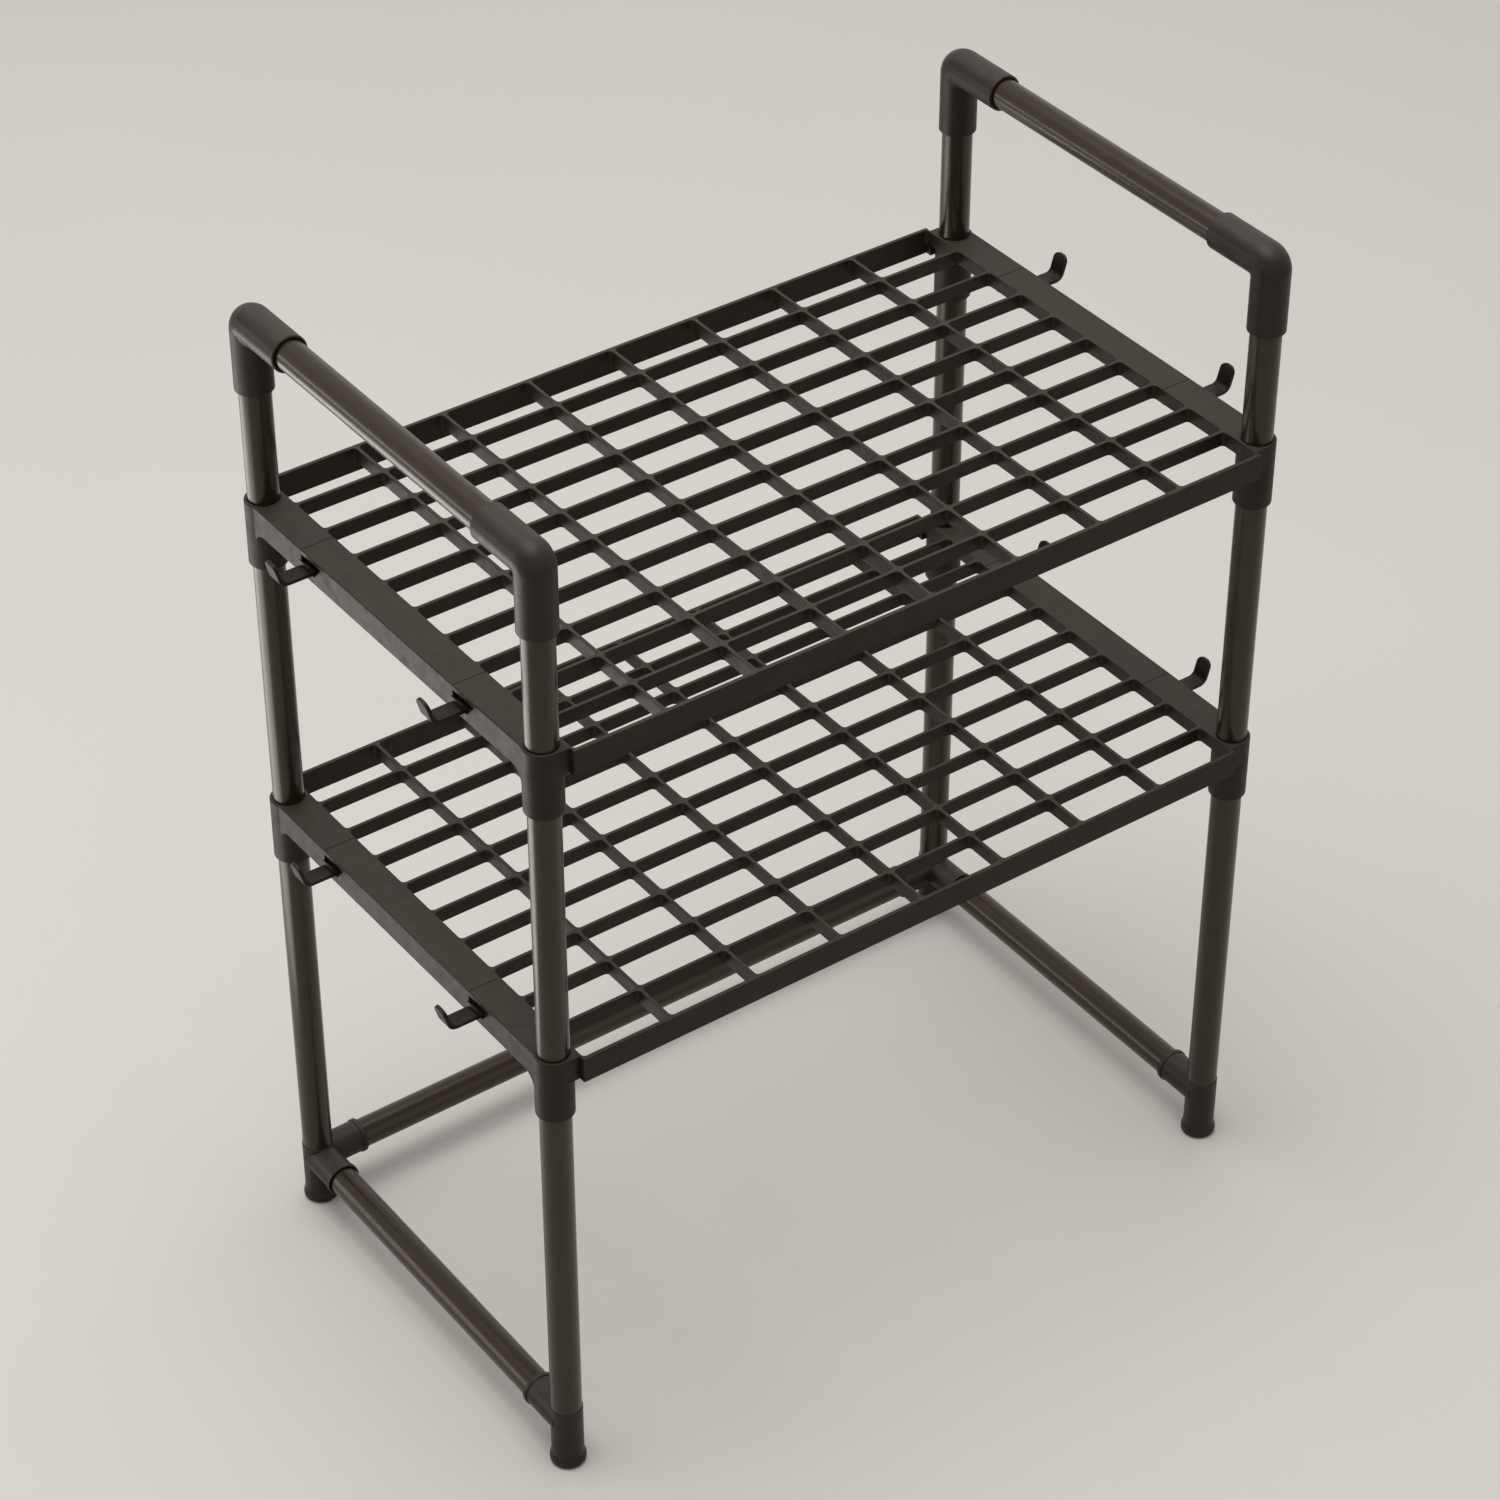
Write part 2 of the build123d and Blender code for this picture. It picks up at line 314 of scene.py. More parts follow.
def quarter_round(radius: float, step: int) -> Profile:
    """Points so many degrees apart round an edge: how far in from the side, and how high to the top."""
    turns = [math.radians(angle) for angle in range(0, 91, step)]
    return [(radius * (1 - math.cos(turn)), radius * (math.sin(turn) - 1)) for turn in turns]


def apply_modifier(piece: Piece, kind: str, **settings: object) -> None:
    """Adds a modifier to a piece and applies it to the mesh.

    Args:
        piece: the piece.
        kind: Blender's name for the kind of modifier.
        settings: the modifier's own properties.
    """
    take(piece)
    bpy.ops.object.modifier_add(type=kind)
    modifier = piece.modifiers[-1]
    for name, value in settings.items():
        setattr(modifier, name, value)
    bpy.ops.object.modifier_apply(modifier=modifier.name)


def join_solids(piece: Piece, tool: Piece, how: Joining) -> None:
    """Adds one solid to another, or cuts it out of it. The second solid is used up."""
    apply_modifier(piece, "BOOLEAN", operation=how.value, solver="MANIFOLD", object=tool)
    bpy.data.objects.remove(tool)


def repeat(piece: Piece, count: int, step: Place) -> None:
    """Repeats a mesh in a straight row, a step in millimetres apart, centred on where it stood.

    Args:
        piece: the piece to repeat, whose mesh then holds the whole row.
        count: how many there are in the row.
        step: the distance from one to the next in millimetres.
    """
    apply_modifier(
        piece, "ARRAY", count=count, use_relative_offset=False, use_constant_offset=True,
        constant_offset_displace=Vector(step) * MM,
    )
    shift(piece, tuple(Vector(step) * (-(count - 1) / 2)))


def linear(code: str) -> tuple[float, float, float, float]:
    """Turns an sRGB hex colour, such as "#2a2826", into a shader's linear colour with an alpha of 1."""
    channels = [int(code[i:i + 2], 16) / 255 for i in (1, 3, 5)]
    return (*(c / 12.92 if c <= 0.04045 else ((c + 0.055) / 1.055) ** 2.4 for c in channels), 1.0)


def cells_per_metre(size: float) -> float:
    """The noise scale whose spots are about this many millimetres across."""
    return 1.0 / (size * MM)


def add_node(
    material: Material | bpy.types.World,
    kind: str,
    inputs: dict[str | int, object] | None = None,
    **settings: object,
) -> bpy.types.Node:
    """Adds one shader node with its settings, constants and links.

    Args:
        material: what the node belongs to.
        kind: the kind of node, as Blender names it after ShaderNode.
        inputs: what each input takes: a number, a colour or another node's output.
        settings: the node's own properties.

    Returns:
        The node.
    """
    node = material.node_tree.nodes.new(f"ShaderNode{kind}")
    for name, value in settings.items():
        setattr(node, name, value)
    for socket, value in (inputs or {}).items():
        if isinstance(value, bpy.types.NodeSocket):
            material.node_tree.links.new(value, node.inputs[socket])
        else:
            node.inputs[socket].default_value = value
    return node


def bare_material(name: str) -> Material:
    """A new material with an empty node tree.

    Args:
        name: the material's name.

    Returns:
        The material.
    """
    material = bpy.data.materials.new(name)
    material.use_nodes = True
    material.node_tree.nodes.clear()
    return material


@dataclass(frozen=True)
class MouldedPlastic:
    """Black plastic as it leaves an injection mould.

    The mould's fine spark-eroded grain gives a satin sheen that breaks up highlights. Flow of the
    melt leaves soft clouds of slightly paler black. Upward faces are painted a little greyer and
    duller than upright ones: partly a trace of dust and handling marks, partly a painted sheen that
    stands in for the lighter look tops get from reflecting a bright room.
    """

    name: str
    colour: str
    cloud_colour: str
    # The grey that upward faces are mixed towards: partly dust, partly a painted sheen for the light that
    # tops catch.
    dust_and_sheen_colour: str
    roughness_low: float
    roughness_high: float
    gloss: float = 0.25
    ior: float = 1.49
    cloud_size: float = 38.0
    smear_size: float = 9.0
    # A real spark-eroded grain is near 0.1 mm, too fine to show, so it is drawn at 0.7 mm.
    grain_size: float = 0.7
    grain_height: float = 0.012
    grain_strength: float = 0.35
    # How far the most upward faces go towards that grey, as dust and painted sheen together.
    dust_and_sheen_share: float = 0.35
    # How much roughness full dust would add.
    dust_dullness: float = 0.22

    def material(self) -> Material:
        """Builds the plastic's material.

        Returns:
            The material.
        """
        made = bare_material(self.name)
        spot = add_node(made, "TexCoord").outputs["Object"]
        normal = add_node(made, "NewGeometry").outputs["Normal"]
        upward = add_node(made, "SeparateXYZ", {"Vector": normal}).outputs["Z"]
        clouds, smears, grain = (
            add_node(
                made, "TexNoise",
                {"Vector": spot, "Scale": cells_per_metre(size), "Detail": detail, "Roughness": fineness},
            ).outputs["Fac"]
            for size, detail, fineness in (
                (self.cloud_size, 4.0, 0.6), (self.smear_size, 6.0, 0.65), (self.grain_size, 2.0, 0.5),
            )
        )
        # Each row has what is read, where its range starts and ends, and what those ends become.
        cloud_share, dust_and_sheen_share, dust_and_sheen_patches, sheen_break = (
            add_node(
                made, "MapRange",
                {"Value": value, "From Min": low, "From Max": high, "To Min": start, "To Max": end},
            ).outputs["Result"]
            for value, low, high, start, end in (
                (clouds, 0.35, 0.70, 0.0, 1.0),
                (upward, 0.55, 0.98, 0.0, self.dust_and_sheen_share),
                (smears, 0.30, 0.65, 0.55, 1.0),
                (smears, 0.30, 0.72, self.roughness_low, self.roughness_high),
            )
        )
        body_colour = add_node(
            made, "Mix", {"Factor": cloud_share, "A": linear(self.colour), "B": linear(self.cloud_colour)},
            data_type="RGBA",
        ).outputs["Result"]
        # Upward faces greyed by dust and by a painted sheen, broken into patches.
        dust_and_sheen = add_node(made, "Math", {0: dust_and_sheen_share, 1: dust_and_sheen_patches}, operation="MULTIPLY").outputs[0]
        colour_with_dust_and_sheen = add_node(
            made, "Mix", {"Factor": dust_and_sheen, "A": body_colour, "B": linear(self.dust_and_sheen_colour)},
            data_type="RGBA",
        ).outputs["Result"]
        roughness = add_node(
            made, "Math", {0: dust_and_sheen, 1: self.dust_dullness, 2: sheen_break}, operation="MULTIPLY_ADD",
        ).outputs[0]
        relief = add_node(
            made, "Bump",
            {"Height": grain, "Strength": self.grain_strength, "Distance": self.grain_height * MM},
        ).outputs["Normal"]
        surface = add_node(
            made, "BsdfPrincipled",
            {
                "Base Color": colour_with_dust_and_sheen, "Roughness": roughness,
                "IOR": self.ior, "Specular IOR Level": self.gloss, "Normal": relief,
            },
        ).outputs["BSDF"]
        add_node(made, "OutputMaterial", {"Surface": surface})
        return made


@dataclass(frozen=True)
class CoatedSteel:
    """Steel tube in a baked powder coat.

    The powder melts to a faint orange peel under a hard gloss, so each tube carries one long
    highlight that wavers a little. Sliding the tubes into their sleeves leaves fine rings and rubs.
    """

    name: str
    colour: str
    rub_colour: str
    roughness_low: float = 0.26
    roughness_high: float = 0.35
    gloss: float = 0.4
    ior: float = 1.52
    # The coat's brown pigment warms what it mirrors.
    sheen_colour: str = "#f2e1cf"
    clear_weight: float = 0.15
    clear_roughness: float = 0.2
    peel_size: float = 2.4
    peel_height: float = 0.010
    peel_strength: float = 0.4
    rub_size: float = 14.0

    def material(self) -> Material:
        """Builds the coat's material.

        Returns:
            The material.
        """
        made = bare_material(self.name)
        spot = add_node(made, "TexCoord").outputs["Object"]
        peel, rubs = (
            add_node(
                made, "TexNoise",
                {"Vector": spot, "Scale": cells_per_metre(size), "Detail": detail, "Roughness": fineness},
            ).outputs["Fac"]
            for size, detail, fineness in ((self.peel_size, 1.0, 0.4), (self.rub_size, 7.0, 0.7))
        )
        # Each row has where the rubs' range starts and ends, and what those ends become.
        rub_share, roughness = (
            add_node(
                made, "MapRange",
                {"Value": rubs, "From Min": low, "From Max": high, "To Min": start, "To Max": end},
            ).outputs["Result"]
            for low, high, start, end in (
                (0.48, 0.75, 0.0, 0.8),
                (0.35, 0.75, self.roughness_low, self.roughness_high),
            )
        )
        tone = add_node(
            made, "Mix", {"Factor": rub_share, "A": linear(self.colour), "B": linear(self.rub_colour)},
            data_type="RGBA",
        ).outputs["Result"]
        relief = add_node(
            made, "Bump",
            {"Height": peel, "Strength": self.peel_strength, "Distance": self.peel_height * MM},
        ).outputs["Normal"]
        surface = add_node(
            made, "BsdfPrincipled",
            {
                "Base Color": tone, "Roughness": roughness, "IOR": self.ior,
                "Specular IOR Level": self.gloss, "Specular Tint": linear(self.sheen_colour),
                "Coat Weight": self.clear_weight, "Coat Roughness": self.clear_roughness,
                "Normal": relief,
            },
        ).outputs["BSDF"]
        add_node(made, "OutputMaterial", {"Surface": surface})
        return made


@dataclass(frozen=True)
class Wardrobe:
    """Every finish on the rack, made once."""

    shelf: Material
    joint: Material
    hook: Material
    tube: Material

    @classmethod
    def make(cls) -> "Wardrobe":
        """Makes the four finishes.

        Returns:
            The wardrobe.
        """
        # Polypropylene, moulded in a satin mould: warm black, greyed on top by dust and a painted sheen.
        shelf = MouldedPlastic(
            "moulded_polypropylene", colour="#211810", cloud_colour="#291f15",
            dust_and_sheen_colour="#625c55", roughness_low=0.42, roughness_high=0.58, gloss=0.19, dust_and_sheen_share=0.38,
        )
        # ABS, moulded in a semi-polished mould: as dark, with a closer highlight.
        joint = MouldedPlastic(
            "moulded_abs", colour="#211912", cloud_colour="#292019",
            dust_and_sheen_colour="#645e58", roughness_low=0.36, roughness_high=0.48, dust_and_sheen_share=0.3,
        )
        # Polyoxymethylene, a hard slippery plastic: small parts with a smooth, waxy sheen.
        hook = MouldedPlastic(
            "moulded_polyoxymethylene", colour="#1a1715", cloud_colour="#211d1a",
            dust_and_sheen_colour="#5a5550", roughness_low=0.34, roughness_high=0.46, gloss=0.17, cloud_size=18.0,
            smear_size=5.0, dust_and_sheen_share=0.2,
        )
        # Mild steel tube under a baked powder coat: brownish black with a long highlight.
        tube = CoatedSteel("powder_coated_steel", colour="#20180f", rub_colour="#271e16")
        return cls(shelf.material(), joint.material(), hook.material(), tube.material())


def hand_in(piece: Piece, node: str, finish: Material) -> None:
    """Finishes a piece: shades it, dresses it and lets it stand for its node of the drawing.

    Args:
        piece: the finished mesh, in its place.
        node: its node of the drawing.
        finish: its material.
    """
    with editing(piece):
        face_outwards()
    take(piece)
    bpy.ops.object.shade_smooth_by_angle(angle=CRISP_ANGLE)
    apply_modifier(piece, "WEIGHTED_NORMAL", keep_sharp=True)
    piece.data.materials.clear()
    piece.data.materials.append(finish)
    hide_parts(node)
    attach(piece, "root")
    log.info("%s stands for %s, %d faces", piece.name, node, len(piece.data.polygons))


@dataclass
class RackPart:
    """What the rack's parts share: the finishes, some sizes and the way to a post."""

    wardrobe: Wardrobe
    post_x: float = 250.0
    post_y: float = 143.0
    side_edge_x: float = 260.3
    side_wall: float = 2.4
    strip_skin: float = 2.5
    hook_y: float = 78.625
    socket_radius: float = 9.6
    stop_radius: float = 7.5
    mouth_chamfer: float = 0.6
    # How far a cutter stands out past the surface that it cuts.
    overcut: float = 1.0

    @property
    def wall_x(self) -> float:
        """The inner face of a shelf's side wall."""
        return self.side_edge_x - self.side_wall

    def to_post(self, piece: Piece, corner: Corner, height: float = 0.0) -> None:
        """Moves a piece from the origin to the axis of a corner's post, at a height."""
        sign_x, sign_y = corner.value
        shift(piece, (sign_x * self.post_x, sign_y * self.post_y, height))


@dataclass
class LatticeShelf(RackPart):
    """One shelf moulding: an open lattice, solid side strips, a rim and four corner sleeves."""

    column_count: int = 8
    row_count: int = 10
    opening_x: float = 57.55
    opening_y: float = 28.95
    rib_thickness: float = 2.4
    slat_thickness: float = 2.5
    opening_corner: float = 2.5
    slat_top_round: float = 0.45
    lattice_depth: float = 9.4
    rim_depth: float = 16.5
    strip_inner_x: float = 238.6
    sleeve_front_y: float = 154.6
    apron_edge_y: float = 158.9
    apron_thickness: float = 2.9
    apron_end_x: float = 240.2
    edge_round: float = 0.8
    sleeve_radius: float = 11.6
    sleeve_length: float = 44.0
    sleeve_end_chamfer: float = 1.0
    sleeve_arch_radius: float = 10.0
    socket_depth: float = 20.5
    top_mouth_chamfer: float = 0.2
    slot_width: float = 14.0
    slot_lean: float = 7.0
    slot_top: float = -3.0
    slot_bottom: float = -11.5
    guide_thickness: float = 1.6
    score_y: float = 6.8
    score_width: float = 0.8
    score_depth: float = 0.3
    # How far the lattice's frame reaches under a sleeve's round, so that no slit is left there.
    tuck: float = 1.0

    def slab(self) -> Piece:
        """The shelf's outline as a solid slab: ends, aprons drawn forward and sides drawn out.

        Returns:
            The slab, with its top at the height 0.
        """
        end_x = self.post_x - self.tuck
        end_y = self.sleeve_front_y
        slab = block("shelf", (-end_x, -end_y, -self.rim_depth), (end_x, end_y, 0.0))
        with editing(slab):
            for sign in (-1, 1):
                slice_through((sign * self.apron_end_x, 0.0, 0.0), (1.0, 0.0, 0.0))
                slice_through((0.0, sign * self.post_y, 0.0), (0.0, 1.0, 0.0))
            for sign in (-1, 1):
                pick_faces(
                    slab,
                    lambda place, normal: normal.y * sign > FACING and abs(place.x) < self.strip_inner_x,
                )
                draw_out(y=sign * (self.apron_edge_y - end_y))
                pick_faces(
                    slab, lambda place, normal: normal.x * sign > FACING and abs(place.y) < self.post_y
                )
                draw_out(x=sign * (self.side_edge_x - end_x))
            face_outwards()
            bevel_edges(slab, self.on_outer_edge, self.edge_round, steps=3)
        return slab

    def on_outer_edge(self, first: Vector, second: Vector) -> bool:
        """Says whether an edge runs round the slab's top, or down a corner of an apron.

        Args:
            first: one end of the edge in millimetres.
            second: its other end.

        Returns:
            Whether it is one of those edges.
        """
        middle = (first + second) / 2
        out_x, out_y = abs(middle.x), abs(middle.y)
        at_top = abs(first.z) < NEAR and abs(second.z) < NEAR
        round_apron = out_y > self.sleeve_front_y + NEAR
        beside_apron = out_x > self.apron_end_x and out_y > self.sleeve_front_y - NEAR
        down_apron = abs(out_x - self.apron_end_x) < NEAR and abs(out_y - self.apron_edge_y) < NEAR
        return (at_top and (out_x > self.post_x or round_apron or beside_apron)) or down_apron

    def opening_cutter(self) -> Piece:
        """The lattice's openings: round-cornered cores that flare where a slat's top edge is round.

        Returns:
            The cores of all the openings as one piece.
        """
        half_x = self.opening_x / 2
        half_y = self.opening_y / 2
        floor = -self.rim_depth - self.overcut
        core = block("openings", (-half_x, -half_y, floor), (half_x, half_y, -self.slat_top_round))
        with editing(core):
            bevel_edges(
                core, lambda first, second: abs(first.z - second.z) > NEAR, self.opening_corner, steps=4
            )
            pick_faces(core, lambda place, normal: normal.z > FACING)
            flare = quarter_round(self.slat_top_round, step=30) + [(self.slat_top_round, self.overcut)]
            for (out, height), (next_out, next_height) in zip(flare, flare[1:]):
                growth = ((half_x + next_out) / (half_x + out), (half_y + next_out) / (half_y + out))
                draw_up(height, next_height, growth)
            face_outwards()
        repeat(core, self.column_count, (self.opening_x + self.rib_thickness, 0.0, 0.0))
        repeat(core, self.row_count, (0.0, self.opening_y + self.slat_thickness, 0.0))
        return core

    def hollow_cutter(self) -> Piece:
        """The row of pockets under one side strip, between cross ribs in line with the slats.

        Returns:
            The row, as the solids to cut out.
        """
        half_y = self.opening_y / 2
        pocket = block(
            "pockets",
            (self.strip_inner_x + self.side_wall, -half_y, -self.lattice_depth - self.overcut),
            (self.wall_x, half_y, -self.strip_skin),
        )
        repeat(pocket, self.row_count, (0.0, self.opening_y + self.slat_thickness, 0.0))
        end_y = self.sleeve_front_y - self.apron_thickness
        with editing(pocket):
            for sign in (-1, 1):
                slice_through((0.0, sign * end_y, 0.0), (0.0, sign, 0.0), use_fill=True, clear_outer=True)
            face_outwards()
        return pocket

    def arch(self) -> Piece:
        """The curve from the right rim's lower edge into the front right sleeve.

        Returns:
            The solid between the curve, the rim and the sleeve.
        """
        radius = self.sleeve_arch_radius
        proud = self.post_x + self.sleeve_radius - self.side_edge_x
        root = math.sqrt(self.sleeve_radius**2 - (self.sleeve_radius - proud) ** 2)
        end_y = -self.post_y + (root + radius)
        bottom = -self.rim_depth - radius
        top = -self.rim_depth + self.tuck
        gusset = block("arch", (self.wall_x, -self.post_y, bottom), (self.side_edge_x, end_y, top))
        curve = turned("curve", [(radius, -self.side_wall), (radius, 2 * self.side_wall)])
        lay(curve, Lie.ALONG_X)
        shift(curve, (self.wall_x, end_y, bottom))
        join_solids(gusset, curve, Joining.CUT)
        return gusset

    def sleeve(self) -> Piece:
        """A corner sleeve as a solid, with its lower edge chamfered and its upper edge round.

        Returns:
            The sleeve, with its post's axis at the origin.
        """
        radius = self.sleeve_radius
        foot = [
            (radius - self.sleeve_end_chamfer, -self.sleeve_length),
            (radius, -self.sleeve_length + self.sleeve_end_chamfer),
        ]
        top = [(radius - inset, height) for inset, height in quarter_round(self.edge_round, step=30)]
        return turned("sleeve", foot + top)

    def socket_cutter(self) -> Piece:
        """The space in a sleeve: a socket from each end, with chamfered mouths, and the stop between.

        Returns:
            The space as a solid, with its post's axis at the origin.
        """
        low = -self.sleeve_length
        radius = self.socket_radius
        return turned(
            "socket",
            [
                (radius + self.mouth_chamfer, low - self.overcut),
                (radius + self.mouth_chamfer, low),
                (radius, low + self.mouth_chamfer),
                (radius, low + self.socket_depth),
                (self.stop_radius, low + self.socket_depth),
                (self.stop_radius, -self.socket_depth),
                (radius, -self.socket_depth),
                (radius, -self.top_mouth_chamfer),
                (radius + self.top_mouth_chamfer, 0.0),
                (radius + self.top_mouth_chamfer, self.overcut),
            ],
        )

    def moulding(self) -> Piece:
        """The whole shelf with its top at the height 0.

        Returns:
            The shelf as one solid.
        """
        body = self.slab()
        deep = -self.rim_depth - self.overcut
        # The space under the lattice reaches out to the aprons, and then to the side walls.
        for half_x, half_y in (
            (self.strip_inner_x, self.apron_edge_y - self.apron_thickness),
            (self.wall_x, self.sleeve_front_y - self.apron_thickness),
        ):
            under = block("under", (-half_x, -half_y, deep), (half_x, half_y, -self.lattice_depth))
            join_solids(body, under, Joining.CUT)
        join_solids(body, self.opening_cutter(), Joining.CUT)
        for turn in (0.0, 180.0):
            pockets = self.hollow_cutter()
            turn_about_z(pockets, turn)
            join_solids(body, pockets, Joining.CUT)
        for sign_x in (-1, 1):
            for sign_y in (-1, 1):
                gusset = self.arch()
                gusset.scale = (sign_x, -sign_y, 1.0)
                fix_in_place(gusset)
                if sign_x * -sign_y < 0:
                    with editing(gusset):
                        bpy.ops.mesh.flip_normals()
                join_solids(body, gusset, Joining.ADD)
        for corner in Corner:
            sleeve = self.sleeve()
            self.to_post(sleeve, corner)
            join_solids(body, sleeve, Joining.ADD)
        for corner in Corner:
            space = self.socket_cutter()
            self.to_post(space, corner)
            join_solids(body, space, Joining.CUT)
            self.add_guides(body, corner)
            self.cut_slot(body, corner)
        return body

    def add_guides(self, body: Piece, corner: Corner) -> None:
        """Adds the ribs under the strip on both sides of one hook's tail.

        Args:
            body: the shelf.
            corner: the hook's corner of the shelf.
        """
        sign_x, sign_y = corner.value
        overlap = self.tuck / 2
        inner = self.strip_inner_x + self.side_wall - overlap
        low_x, high_x = sorted((sign_x * inner, sign_x * (self.wall_x + overlap)))
        half = self.guide_thickness / 2
        top = -self.strip_skin + overlap
        for side in (-1, 1):
            middle = sign_y * self.hook_y + side * (self.slot_width + self.guide_thickness) / 2
            guide = block("guide", (low_x, middle - half, self.slot_bottom), (high_x, middle + half, top))
            join_solids(body, guide, Joining.ADD)

    def cut_slot(self, body: Piece, corner: Corner) -> None:
        """Cuts the slot for one hook, and the score line across the strip behind it.

        Args:
            body: the shelf.
            corner: the hook's corner of the shelf.
        """
        sign_x, sign_y = corner.value
        middle = sign_y * self.hook_y
        half = self.slot_width / 2
        outer = self.side_edge_x + self.overcut
        low_x, high_x = sorted((sign_x * (self.wall_x - self.overcut), sign_x * outer))
        slot = block("slot", (low_x, middle - half, self.slot_bottom), (high_x, middle + half, self.slot_top))
        with editing(slot):
            pick_edges(
                slot,
                lambda first, second: min(first.z, second.z) > self.slot_top - NEAR
                and max(first.y, second.y) < middle,
            )
            bpy.ops.transform.translate(value=(0.0, -self.slot_lean * MM, 0.0))
        join_solids(body, slot, Joining.CUT)
        start = middle + self.score_y
        half = self.score_width / 2
        low_x, high_x = sorted((sign_x * (self.strip_inner_x - self.overcut), sign_x * outer))
        score = block("score", (low_x, start - half, -self.score_depth), (high_x, start + half, self.overcut))
        join_solids(body, score, Joining.CUT)

    def build(self) -> None:
        """Makes both shelves and puts them at their heights."""
        body = self.moulding()
        for level in ("lower", "upper"):
            piece = copy_of(body, f"shelf_{level}")
            shift(piece, (0.0, 0.0, top_of(f"{level}_shelf")))
            hand_in(piece, f"{level}_shelf", self.wardrobe.shelf)
        bpy.data.objects.remove(body)


@dataclass
class SteelTube(RackPart):
    """The rack's tube, cut to length for its posts, handles and crossbars."""

    radius: float = 9.5
    wall: float = 0.8
    edge_round: float = 0.2

    def cut(self, name: str, length: float) -> Piece:
        """Cuts one upright length of tube, with its middle at the origin.

        Args:
            name: the piece's name.
            length: its length in millimetres.

        Returns:
            The tube.
        """
        clear_selection()
        bpy.ops.mesh.primitive_cylinder_add(
            vertices=ROUND_SIDES, radius=self.radius * MM, depth=length * MM, location=(0.0, 0.0, 0.0)
        )
        piece = named(name)
        with editing(piece):
            pick_faces(piece, lambda place, normal: abs(normal.z) > FACING)
            bpy.ops.mesh.inset(thickness=self.wall * MM, depth=0.0, use_individual=True)
            bpy.ops.mesh.delete(type="FACE")
            with picking(piece, "EDGE") as shape:
                for edge in shape.edges:
                    edge.select_set(edge.is_boundary)
            bpy.ops.mesh.bridge_edge_loops()
            end = length / 2 - NEAR
            bevel_edges(
                piece,
                lambda first, second: abs(first.z) > end and abs(second.z) > end
                and abs(first.xy.length - second.xy.length) < NEAR,
                self.edge_round, steps=2,
            )
            face_outwards()
        return piece

    def fit(self, name: str, node: str) -> None:
        """Cuts the tube that a node of the drawing calls for, and puts it in its place.

        Args:
            name: the piece's name.
            node: the node of the drawing.
        """
        low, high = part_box(node)
        size = (high - low) / MM
        middle = (low + high) / 2 / MM
        length = max(size)
        piece = self.cut(name, length)
        if size.x == length:
            lay(piece, Lie.ALONG_X)
        elif size.y == length:
            lay(piece, Lie.ALONG_Y)
        shift(piece, tuple(middle))
        hand_in(piece, node, self.wardrobe.tube)

    def build(self) -> None:
        """Cuts and fits every tube of the rack."""
        for level in ("lower", "middle", "upper"):
            for corner in Corner:
                self.fit(f"post_{level}_{corner.label}", f"{level}_post_{corner.label}")
        for side in ("left", "right"):
            self.fit(f"handle_{side}", f"handle_tube_{side}")
            self.fit(f"bar_{side}", f"crossbar_{side}")
        self.fit("bar_back", "crossbar_back")


